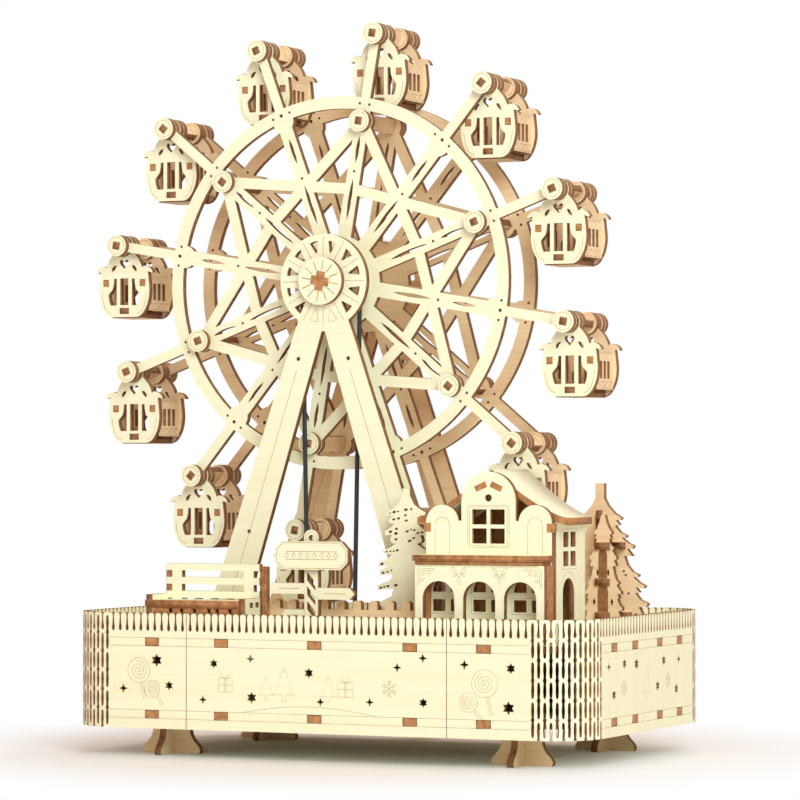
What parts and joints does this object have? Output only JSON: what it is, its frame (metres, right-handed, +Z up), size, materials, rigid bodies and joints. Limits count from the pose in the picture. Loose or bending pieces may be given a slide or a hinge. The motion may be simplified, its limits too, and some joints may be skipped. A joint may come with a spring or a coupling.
{
  "type": "hand-cranked wooden ferris wheel model",
  "caption": "Slotted plywood ferris wheel with hanging cabins, belt drive and rear crank, on a playground base with a shop, bench, signpost and fir trees.",
  "frame": {"origin": "centre of the whole model's footprint, cabins and crank included, on the surface it stands on", "axes": "+X to the right along the long front, +Y from the front to the crank at the back, +Z up"},
  "size_m": [0.2534, 0.1656, 0.3072],
  "materials": {
    "plywood": "pale laser-cut plywood, matt, with browned edges",
    "belt_rubber": "matt black round belt"
  },
  "bodies": {
    "stand": {"front_wall": "plywood", "rear_wall": "plywood", "left_wrap_wall": "plywood", "right_wrap_wall": "plywood", "upper_deck": "plywood", "lower_deck": "plywood", "foot_front_left": "plywood", "foot_front_right": "plywood", "foot_rear_left": "plywood", "foot_rear_right": "plywood", "front_a_frame": "plywood", "rear_a_frame": "plywood", "drive_belt": "belt_rubber", "shaft_bracket": "plywood", "bench": "plywood", "signpost": "plywood", "fence": "plywood", "large_tree": "plywood", "small_tree": "plywood", "shop_walls": "plywood", "shop_roof": "plywood"},
    "wheel": {"axle": "plywood", "front_hub_cap": "plywood", "wheel_front_plate": "plywood", "wheel_rear_plate": "plywood", "upper_pulley": "plywood", "tie_rod_1": "plywood", "tie_rod_2": "plywood", "tie_rod_3": "plywood", "tie_rod_4": "plywood", "tie_rod_5": "plywood", "tie_rod_6": "plywood", "gondola_rod_01": "plywood", "gondola_rod_02": "plywood", "gondola_rod_03": "plywood", "gondola_rod_04": "plywood", "gondola_rod_05": "plywood", "gondola_rod_06": "plywood", "gondola_rod_07": "plywood", "gondola_rod_08": "plywood", "gondola_rod_09": "plywood", "gondola_rod_10": "plywood", "gondola_rod_11": "plywood", "gondola_rod_12": "plywood"},
    "drive": {"drive_shaft": "plywood", "lower_pulley": "plywood", "crank_arm": "plywood"},
    "knob": {"crank_knob": "plywood"},
    "cabin_01": {"gondola_01": "plywood"},
    "cabin_02": {"gondola_02": "plywood"},
    "cabin_03": {"gondola_03": "plywood"},
    "cabin_04": {"gondola_04": "plywood"},
    "cabin_05": {"gondola_05": "plywood"},
    "cabin_06": {"gondola_06": "plywood"},
    "cabin_07": {"gondola_07": "plywood"},
    "cabin_08": {"gondola_08": "plywood"},
    "cabin_09": {"gondola_09": "plywood"},
    "cabin_10": {"gondola_10": "plywood"},
    "cabin_11": {"gondola_11": "plywood"},
    "cabin_12": {"gondola_12": "plywood"}
  },
  "joints": [
    {"name": "wheel_spin", "type": "hinge", "parent": "stand", "child": "wheel", "pos_m": [-0.00757, -0.0096, 0.198], "axis": [0, 1, 0], "continuous": true},
    {"name": "crank_turn", "type": "hinge", "parent": "stand", "child": "drive", "pos_m": [-0.00757, 0.067, 0.033], "axis": [0, 1, 0], "continuous": true},
    {"name": "knob_spin", "type": "hinge", "parent": "drive", "child": "knob", "pos_m": [-0.00757, 0.0704, 0.013], "axis": [0, 1, 0], "continuous": true},
    {"name": "gondola_01_swing", "type": "hinge", "parent": "wheel", "child": "cabin_01", "pos_m": [0.01047, -0.0096, 0.30245], "axis": [0, 1, 0], "continuous": true},
    {"name": "gondola_02_swing", "type": "hinge", "parent": "wheel", "child": "cabin_02", "pos_m": [0.06028, -0.0096, 0.27944], "axis": [0, 1, 0], "continuous": true},
    {"name": "gondola_03_swing", "type": "hinge", "parent": "wheel", "child": "cabin_03", "pos_m": [0.09191, -0.0096, 0.2346], "axis": [0, 1, 0], "continuous": true},
    {"name": "gondola_04_swing", "type": "hinge", "parent": "wheel", "child": "cabin_04", "pos_m": [0.09688, -0.0096, 0.17996], "axis": [0, 1, 0], "continuous": true},
    {"name": "gondola_05_swing", "type": "hinge", "parent": "wheel", "child": "cabin_05", "pos_m": [0.07387, -0.0096, 0.13015], "axis": [0, 1, 0], "continuous": true},
    {"name": "gondola_06_swing", "type": "hinge", "parent": "wheel", "child": "cabin_06", "pos_m": [0.02903, -0.0096, 0.09852], "axis": [0, 1, 0], "continuous": true},
    {"name": "gondola_07_swing", "type": "hinge", "parent": "wheel", "child": "cabin_07", "pos_m": [-0.02562, -0.0096, 0.09355], "axis": [0, 1, 0], "continuous": true},
    {"name": "gondola_08_swing", "type": "hinge", "parent": "wheel", "child": "cabin_08", "pos_m": [-0.07543, -0.0096, 0.11656], "axis": [0, 1, 0], "continuous": true},
    {"name": "gondola_09_swing", "type": "hinge", "parent": "wheel", "child": "cabin_09", "pos_m": [-0.10705, -0.0096, 0.1614], "axis": [0, 1, 0], "continuous": true},
    {"name": "gondola_10_swing", "type": "hinge", "parent": "wheel", "child": "cabin_10", "pos_m": [-0.11203, -0.0096, 0.21604], "axis": [0, 1, 0], "continuous": true},
    {"name": "gondola_11_swing", "type": "hinge", "parent": "wheel", "child": "cabin_11", "pos_m": [-0.08901, -0.0096, 0.26585], "axis": [0, 1, 0], "continuous": true},
    {"name": "gondola_12_swing", "type": "hinge", "parent": "wheel", "child": "cabin_12", "pos_m": [-0.04417, -0.0096, 0.29748], "axis": [0, 1, 0], "continuous": true}
  ],
  "couplings": [
    {"joint": "crank_turn", "follows": "wheel_spin", "ratio": 1.2857},
    {"joint": "gondola_01_swing", "follows": "wheel_spin", "ratio": -1},
    {"joint": "gondola_02_swing", "follows": "wheel_spin", "ratio": -1},
    {"joint": "gondola_03_swing", "follows": "wheel_spin", "ratio": -1},
    {"joint": "gondola_04_swing", "follows": "wheel_spin", "ratio": -1},
    {"joint": "gondola_05_swing", "follows": "wheel_spin", "ratio": -1},
    {"joint": "gondola_06_swing", "follows": "wheel_spin", "ratio": -1},
    {"joint": "gondola_07_swing", "follows": "wheel_spin", "ratio": -1},
    {"joint": "gondola_08_swing", "follows": "wheel_spin", "ratio": -1},
    {"joint": "gondola_09_swing", "follows": "wheel_spin", "ratio": -1},
    {"joint": "gondola_10_swing", "follows": "wheel_spin", "ratio": -1},
    {"joint": "gondola_11_swing", "follows": "wheel_spin", "ratio": -1},
    {"joint": "gondola_12_swing", "follows": "wheel_spin", "ratio": -1}
  ]
}
